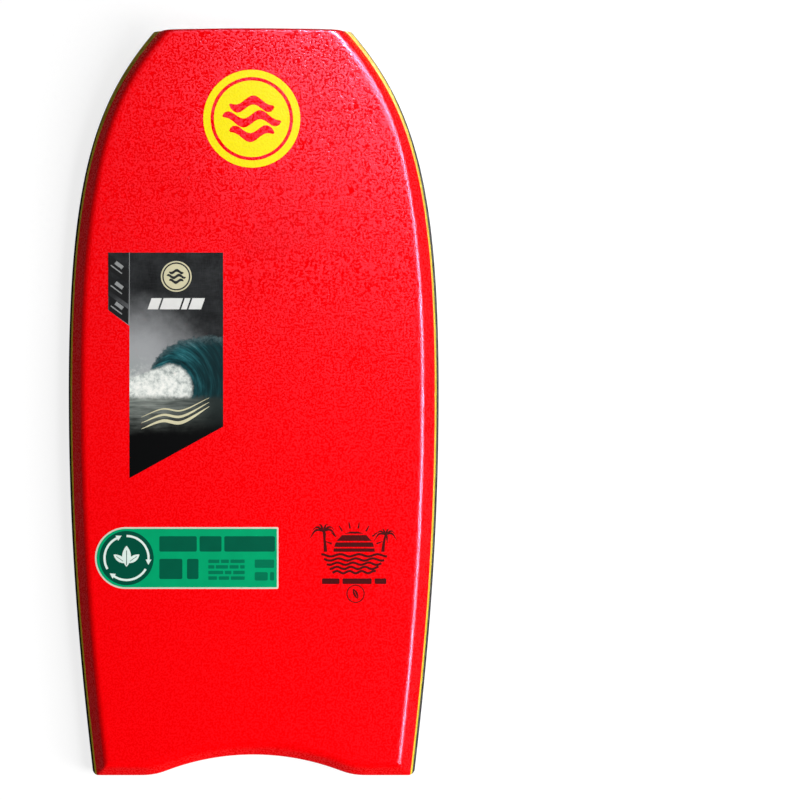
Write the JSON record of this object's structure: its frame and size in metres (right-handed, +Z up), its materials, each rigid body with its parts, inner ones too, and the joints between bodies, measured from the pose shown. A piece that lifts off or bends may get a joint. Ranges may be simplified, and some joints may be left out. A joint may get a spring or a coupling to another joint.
{
  "type": "bodyboard",
  "caption": "Foam bodyboard with bevelled deck edges, layered rails, a lifted nose, a crescent tail and a hard slick with tail channels.",
  "frame": {"origin": "under the middle of the board's box, on the surface that the board lies on, slick down", "axes": "+Y towards the nose, +Z up out of the deck, +X to the right of a rider lying on the deck facing the nose"},
  "size_m": [0.5328, 1.067, 0.0892],
  "materials": {
    "deck_foam": "closed-cell foam with a fine pebbled skin",
    "core_foam": "cut closed-cell foam",
    "mesh_plastic": "woven plastic mesh",
    "slick_plastic": "satin sheet with a faint mesh relief",
    "rail_yellow": "cut foam",
    "rail_black": "pebbled foam",
    "stringer_carbon": "carbon fibre in clear resin",
    "plug_plastic": "moulded",
    "deck_label_print": "printed vinyl",
    "sticker_print": "printed vinyl",
    "poster_print": "printed film"
  },
  "bodies": {
    "root": {"deck_skin": "deck_foam", "core": "core_foam", "slick_mesh": "mesh_plastic", "slick": "slick_plastic", "inner_rail_left": "rail_yellow", "inner_rail_right": "rail_yellow", "outer_rail_left": "rail_black", "outer_rail_right": "rail_black", "nose_strip": "deck_foam", "tail_strip": "deck_foam", "stringer_tube": "stringer_carbon", "stringer_plug_front": "plug_plastic", "stringer_plug_rear": "plug_plastic", "deck_label": "deck_label_print", "core_sticker": "sticker_print", "slick_label": "poster_print"}
  },
  "joints": []
}
